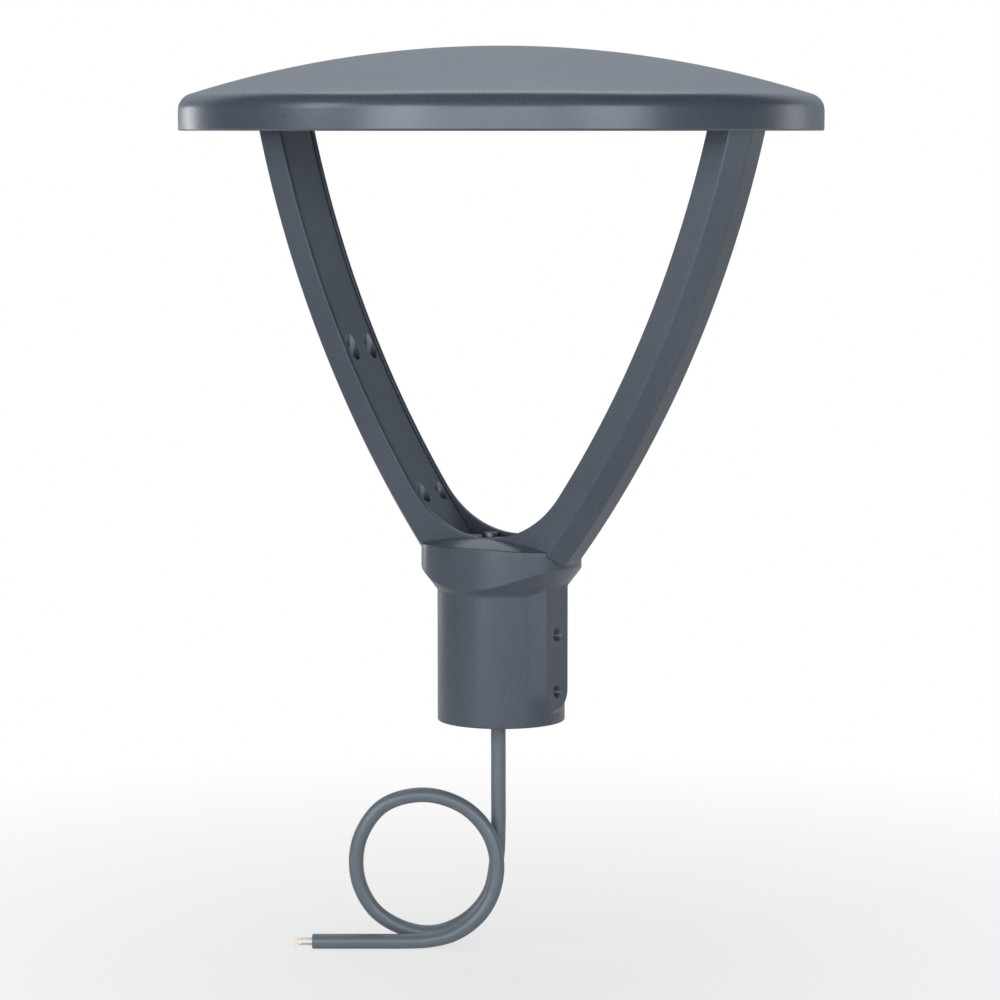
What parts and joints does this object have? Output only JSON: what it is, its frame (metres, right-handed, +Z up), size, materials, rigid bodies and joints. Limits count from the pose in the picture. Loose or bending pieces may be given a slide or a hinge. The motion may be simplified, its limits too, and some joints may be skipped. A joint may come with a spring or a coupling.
{
  "type": "post top street lantern",
  "caption": "Post-top street lantern with a shallow round head on a forked yoke, a sleeve for a pole end and a looped supply cord.",
  "frame": {"origin": "middle of the sleeve's mouth, where the pole goes in", "axes": "+Z up along the sleeve to the head, +X along the arm whose side of the sleeve carries the set screws, +Y to the back"},
  "size_m": [0.45, 0.45, 0.6373],
  "materials": {
    "canopy_coat": "fine-textured powder coat",
    "seal_rubber": "matt black silicone",
    "tray_coat": "fine-textured powder coat",
    "screw_steel": "stainless, plain",
    "raw_aluminium": "bare casting",
    "board_white": "white solder mask",
    "chip_phosphor": "yellow phosphor",
    "lens_clear": "clear moulded optic",
    "window_glass": "clear toughened glass",
    "frame_coat": "fine-textured powder coat",
    "driver_case": "moulded case",
    "terminal_plastic": "moulded",
    "surge_plastic": "moulded",
    "lead_sheath": "matt sheath",
    "yoke_coat": "fine-textured powder coat",
    "bolt_steel": "stainless, plain",
    "washer_steel": "stainless, plain",
    "strip_coat": "fine-textured powder coat",
    "cover_screw_steel": "darkened stainless",
    "cap_coat": "fine-textured powder coat",
    "spigot_coat": "fine-textured powder coat",
    "gland_plastic": "black polyamide",
    "cord_sheath": "matt blue-grey sheath",
    "core_pale_skin": "pale insulation",
    "core_brown_skin": "pale brown insulation",
    "bare_copper": "bare strands"
  },
  "bodies": {
    "root": {"canopy": "canopy_coat", "canopy_seal": "seal_rubber", "gear_tray": "tray_coat", "tray_screws": "screw_steel", "heat_spreader": "raw_aluminium", "led_board": "board_white", "led_chips": "chip_phosphor", "lens_plate": "lens_clear", "glass": "window_glass", "glass_seal": "seal_rubber", "glass_frame": "frame_coat", "frame_screws": "screw_steel", "driver": "driver_case", "driver_screws": "screw_steel", "terminal_block": "terminal_plastic", "surge_module": "surge_plastic", "inner_leads": "lead_sheath", "yoke": "yoke_coat", "arm_bolts": "bolt_steel", "arm_washers": "washer_steel", "arm_cover_right": "strip_coat", "arm_cover_left": "strip_coat", "cover_screws": "cover_screw_steel", "base_cap": "cap_coat", "base_bolts": "bolt_steel", "base_washers": "washer_steel", "spigot": "spigot_coat", "gland_body": "gland_plastic", "gland_nut": "gland_plastic", "gland_locknut": "gland_plastic", "feed_lead": "lead_sheath", "cord": "cord_sheath", "core_pale": "core_pale_skin", "core_brown": "core_brown_skin", "core_tips": "bare_copper"}
  },
  "joints": []
}
